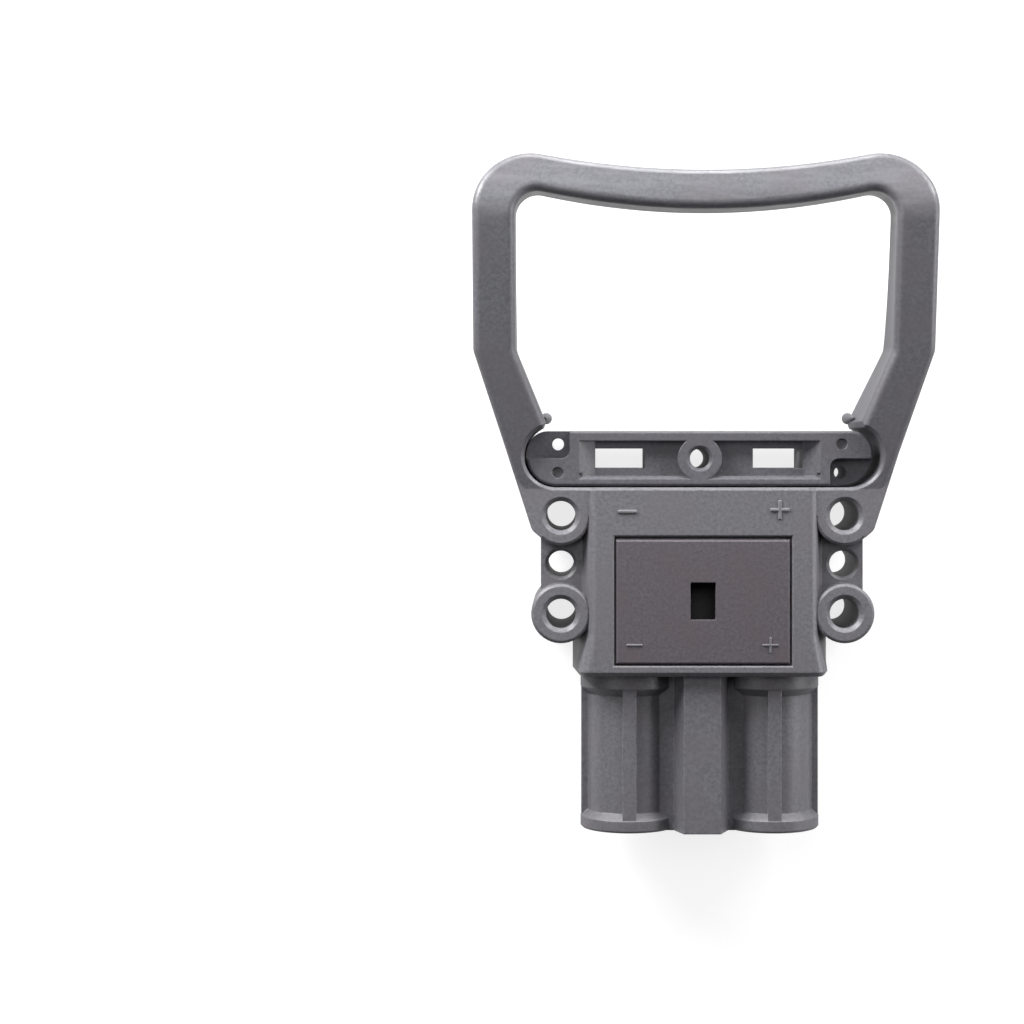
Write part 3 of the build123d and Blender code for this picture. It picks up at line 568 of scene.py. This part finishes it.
def make_room(strength):
    """Surrounds the scene with white, which the camera sees in full and the connector only faintly."""
    world = bpy.data.worlds.new("room")
    world.use_nodes = True
    nodes, links = world.node_tree.nodes, world.node_tree.links
    path = nodes.new("ShaderNodeLightPath")
    brightness = nodes.new("ShaderNodeMapRange")
    brightness.inputs["To Min"].default_value = strength
    brightness.inputs["To Max"].default_value = 1.0
    links.new(path.outputs["Is Camera Ray"], brightness.inputs["Value"])
    background = nodes["Background"]
    background.inputs["Color"].default_value = WHITE
    links.new(brightness.outputs["Result"], background.inputs["Strength"])
    bpy.context.scene.world = world


def make_camera(studio):
    """Puts the camera above the connector, looking straight down at it."""
    camera = bpy.data.cameras.new("camera")
    camera.sensor_fit = "HORIZONTAL"
    camera.sensor_width = SENSOR
    camera.lens = studio.focal_pixels * SENSOR / IMAGE_SIDE
    camera.clip_start, camera.clip_end = CAMERA_RANGE
    camera.shift_x = CAMERA_SHIFT[0] / IMAGE_SIDE
    camera.shift_y = CAMERA_SHIFT[1] / IMAGE_SIDE
    view = add_object("camera", camera)
    view.location = (CAMERA_ACROSS, CAMERA_UP, studio.camera_height)
    view.rotation_mode = "QUATERNION"
    view.rotation_quaternion = STRAIGHT_DOWN
    bpy.context.scene.camera = view


class CONNECTOR_OT_housing(bpy.types.Operator):
    """Finishes the housing in grained plastic"""

    bl_idname = "connector.housing"
    bl_label = "Housing"

    def execute(self, context):
        colours, sizes = context.scene.connector_colours, context.scene.connector_sizes
        material = moulded_plastic(
            "housing_plastic",
            colours.housing,
            sizes.edge_round,
            grain=0.3 * MM,
            grain_strength=0.35,
            rough=0.44,
            has_handle=True,
        )
        finish(material, "housing")
        return {"FINISHED"}


class CONNECTOR_OT_rating_plate(bpy.types.Operator):
    """Finishes the rating plate in satin plastic"""

    bl_idname = "connector.rating_plate"
    bl_label = "Rating plate"

    def execute(self, context):
        colours, sizes = context.scene.connector_colours, context.scene.connector_sizes
        edge = sizes.edge_round * SMALL_MOULDING_EDGE
        material = moulded_plastic(
            "plate_plastic", colours.plate, edge, grain=0.4 * MM, grain_strength=0.15, rough=0.46
        )
        finish(material, "rating_plate")
        return {"FINISHED"}


class CONNECTOR_OT_cable_clamp(bpy.types.Operator):
    """Finishes both halves of the cable clamp"""

    bl_idname = "connector.cable_clamp"
    bl_label = "Cable clamp"

    def execute(self, context):
        colours, sizes = context.scene.connector_colours, context.scene.connector_sizes
        edge = sizes.edge_round
        material = moulded_plastic(
            "clamp_plastic", colours.clamp, edge, grain=0.35 * MM, grain_strength=0.2, rough=0.48
        )
        finish(material, *CLAMP_NODES)
        return {"FINISHED"}


class CONNECTOR_OT_coding_pin(bpy.types.Operator):
    """Finishes the coding pin in near-black plastic"""

    bl_idname = "connector.coding_pin"
    bl_label = "Coding pin"

    def execute(self, context):
        colours, sizes = context.scene.connector_colours, context.scene.connector_sizes
        edge = sizes.edge_round * SMALL_MOULDING_EDGE
        material = moulded_plastic(
            "coding_plastic", colours.coding, edge, grain=0.3 * MM, grain_strength=0.15, rough=0.5
        )
        finish(material, "coding_pin")
        return {"FINISHED"}


class CONNECTOR_OT_contacts(bpy.types.Operator):
    """Finishes the two contacts in silver plating"""

    bl_idname = "connector.contacts"
    bl_label = "Contacts"

    def execute(self, context):
        colours, sizes = context.scene.connector_colours, context.scene.connector_sizes
        edge = sizes.edge_round * METAL_EDGE
        finish(plated_metal("contact_metal", colours.silver, edge, rough=0.24), *CONTACT_NODES)
        return {"FINISHED"}


class CONNECTOR_OT_contact_clips(bpy.types.Operator):
    """Finishes the clips behind the contacts in spring steel"""

    bl_idname = "connector.contact_clips"
    bl_label = "Contact clips"

    def execute(self, context):
        colours, sizes = context.scene.connector_colours, context.scene.connector_sizes
        edge = sizes.edge_round * METAL_EDGE
        finish(plated_metal("clip_steel", colours.steel, edge, rough=0.38), *CLIP_NODES)
        return {"FINISHED"}


class CONNECTOR_OT_polarity_signs(bpy.types.Operator):
    """Raises the plus and minus signs on the body and on the plate"""

    bl_idname = "connector.polarity_signs"
    bl_label = "Polarity signs"

    def execute(self, context):
        sizes = context.scene.connector_sizes
        body_form = (sizes.sign_length, sizes.sign_width, sizes.sign_height)
        plate_form = (sizes.plate_sign_length, sizes.plate_sign_width, sizes.plate_sign_height)
        for sign in BODY_SIGNS:
            polarity_sign(*sign, body_form, "housing_plastic")
        for sign in PLATE_SIGNS:
            polarity_sign(*sign, plate_form, "plate_plastic")
        return {"FINISHED"}


class CONNECTOR_OT_studio(bpy.types.Operator):
    """Sets up the white table, the soft light and the camera"""

    bl_idname = "connector.studio"
    bl_label = "Studio"

    def execute(self, context):
        studio, colours = context.scene.connector_studio, context.scene.connector_colours
        make_table(colours.floor)
        make_room(studio.room)
        for name, azimuth, elevation in LAMPS:
            softbox(name + "_softbox", azimuth, elevation, studio, getattr(studio, name))
        make_camera(studio)
        context.scene.view_settings.view_transform = "Standard"
        return {"FINISHED"}


OPERATORS = (
    CONNECTOR_OT_housing,
    CONNECTOR_OT_rating_plate,
    CONNECTOR_OT_cable_clamp,
    CONNECTOR_OT_coding_pin,
    CONNECTOR_OT_contacts,
    CONNECTOR_OT_contact_clips,
    CONNECTOR_OT_polarity_signs,
    CONNECTOR_OT_studio,
)

PROPERTY_GROUPS = {
    "connector_sizes": ConnectorSizes,
    "connector_colours": ConnectorColours,
    "connector_studio": ConnectorStudio,
}


class CONNECTOR_PT_pieces(bpy.types.Panel):
    """Lists the pieces of the connector, with their sizes and colours."""

    bl_idname = "CONNECTOR_PT_pieces"
    bl_label = "Battery connector"
    bl_space_type = "VIEW_3D"
    bl_region_type = "UI"
    bl_category = "Connector"

    def draw(self, context):
        for operator in OPERATORS:
            self.layout.operator(operator.bl_idname)
        for group in PROPERTY_GROUPS:
            settings = getattr(context.scene, group)
            box = self.layout.box()
            for name in type(settings).__annotations__:
                box.prop(settings, name)


def register():
    for name, group in PROPERTY_GROUPS.items():
        bpy.utils.register_class(group)
        setattr(bpy.types.Scene, name, PointerProperty(type=group))
    for operator in OPERATORS:
        bpy.utils.register_class(operator)
    bpy.utils.register_class(CONNECTOR_PT_pieces)


def unregister():
    bpy.utils.unregister_class(CONNECTOR_PT_pieces)
    for operator in reversed(OPERATORS):
        bpy.utils.unregister_class(operator)
    for name, group in PROPERTY_GROUPS.items():
        delattr(bpy.types.Scene, name)
        bpy.utils.unregister_class(group)


def main():
    register()
    for operator in OPERATORS:
        family, name = operator.bl_idname.split(".")
        getattr(getattr(bpy.ops, family), name)()


if __name__ == "__main__":
    main()
